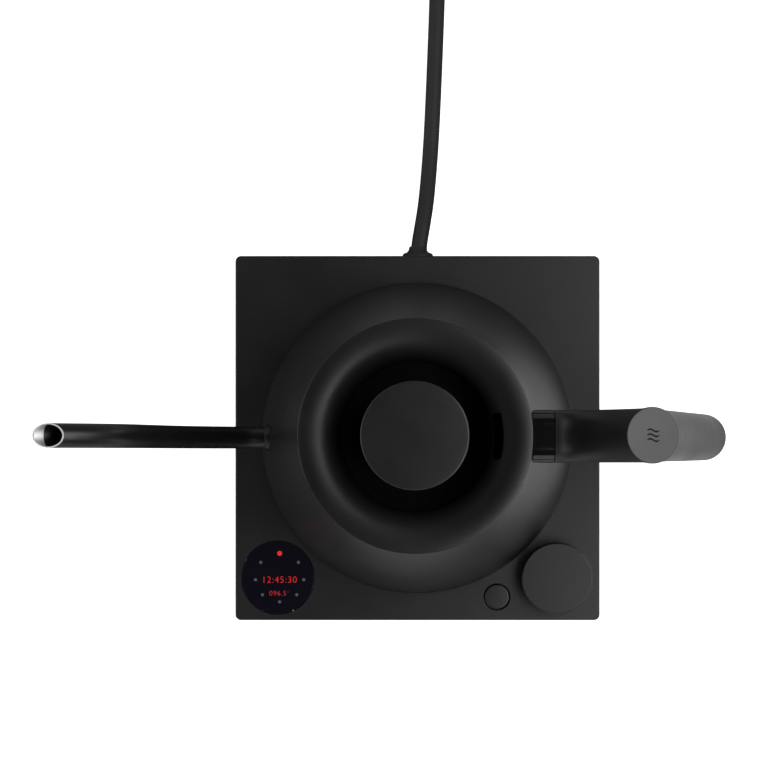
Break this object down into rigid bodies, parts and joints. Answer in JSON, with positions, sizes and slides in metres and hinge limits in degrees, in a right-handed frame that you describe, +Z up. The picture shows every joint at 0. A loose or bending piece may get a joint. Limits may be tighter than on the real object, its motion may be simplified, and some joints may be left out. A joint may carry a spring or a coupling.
{
  "type": "electric kettle",
  "caption": "Gooseneck electric kettle with a conical body and a side handle, standing on a square heating base with a round display, a button and a dial.",
  "frame": {"origin": "on the table under the middle of the kettle and its base, midway between the spout tip and the end of the handle, the cord not counted", "axes": "+X towards the handle, +Y towards the cord at the back, +Z up"},
  "size_m": [0.2905, 0.394, 0.1853],
  "materials": {
    "black_plastic": "fine satin texture, moulded",
    "coated_steel": "fine matte powder coat on steel",
    "bare_steel": "brushed",
    "aluminium": "mill finish",
    "brass": "bright",
    "gloss_black": "high gloss black",
    "grip_plastic": "smooth satin",
    "display_glass": "gloss black cover glass with a red figure and grey dots behind it",
    "soft_rubber": "matte",
    "cord_jacket": "smooth satin cord jacket",
    "circuit_board": "solder-masked board",
    "amber_wrap": "transformer tape",
    "blue_plastic": "moulded"
  },
  "bodies": {
    "base": {"base_cover": "black_plastic", "base_bottom": "black_plastic", "foot_1": "soft_rubber", "foot_2": "soft_rubber", "foot_3": "soft_rubber", "foot_4": "soft_rubber", "base_screw_1": "bare_steel", "base_screw_2": "bare_steel", "base_screw_3": "bare_steel", "base_screw_4": "bare_steel", "base_connector": "black_plastic", "base_contact_ring": "brass", "display_lens": "display_glass", "display_module": "black_plastic", "control_board": "circuit_board", "button_switch": "black_plastic", "buzzer": "black_plastic", "encoder": "bare_steel", "power_board": "circuit_board", "transformer": "amber_wrap", "relay": "black_plastic", "capacitor": "black_plastic", "terminal_block": "blue_plastic", "cord_gland": "soft_rubber", "cord": "cord_jacket", "cord_coil": "cord_jacket", "cord_tail": "cord_jacket", "plug_body": "soft_rubber", "plug_blade_1": "brass", "plug_blade_2": "brass", "plug_ground_pin": "brass"},
    "shaft": {"dial_shaft": "bare_steel"},
    "dial": {"dial": "black_plastic"},
    "button": {"button": "black_plastic"},
    "connector": {"kettle_socket": "black_plastic", "socket_ring": "brass", "socket_pin": "brass"},
    "kettle": {"kettle_body": "coated_steel", "heater_plate": "bare_steel", "heat_spreader": "aluminium", "heating_element": "bare_steel", "temperature_probe": "bare_steel", "bottom_cover": "black_plastic", "bottom_screw_1": "bare_steel", "bottom_screw_2": "bare_steel", "bottom_screw_3": "bare_steel", "spout": "coated_steel", "spout_collar": "coated_steel", "handle_neck": "gloss_black", "handle": "grip_plastic", "handle_cap": "grip_plastic", "handle_screw": "bare_steel"},
    "lid": {"lid_shell": "coated_steel", "lid_liner": "bare_steel", "lid_seal": "soft_rubber", "lid_knob": "grip_plastic", "knob_screw": "bare_steel"}
  },
  "joints": [
    {"name": "kettle_lift", "type": "slide", "parent": "base", "child": "connector", "axis": [0, 0, 1], "range_m": [0, 0.15]},
    {"name": "kettle_swivel", "type": "hinge", "parent": "connector", "child": "kettle", "pos_m": [0.0074, 0, 0.036], "axis": [0, 0, 1], "continuous": true},
    {"name": "lid_lift", "type": "slide", "parent": "kettle", "child": "lid", "axis": [0, 0, 1], "range_m": [0, 0.08]},
    {"name": "dial_turn", "type": "hinge", "parent": "base", "child": "shaft", "pos_m": [0.072, -0.065, 0.03], "axis": [0, 0, 1], "continuous": true},
    {"name": "dial_press", "type": "slide", "parent": "shaft", "child": "dial", "axis": [0, 0, -1], "range_m": [0, 0.0008], "stiffness_N_per_m": 400, "springref_m": -0.002},
    {"name": "button_press", "type": "slide", "parent": "base", "child": "button", "axis": [0, 0, -1], "range_m": [0, 0.0005], "stiffness_N_per_m": 400, "springref_m": -0.001}
  ]
}
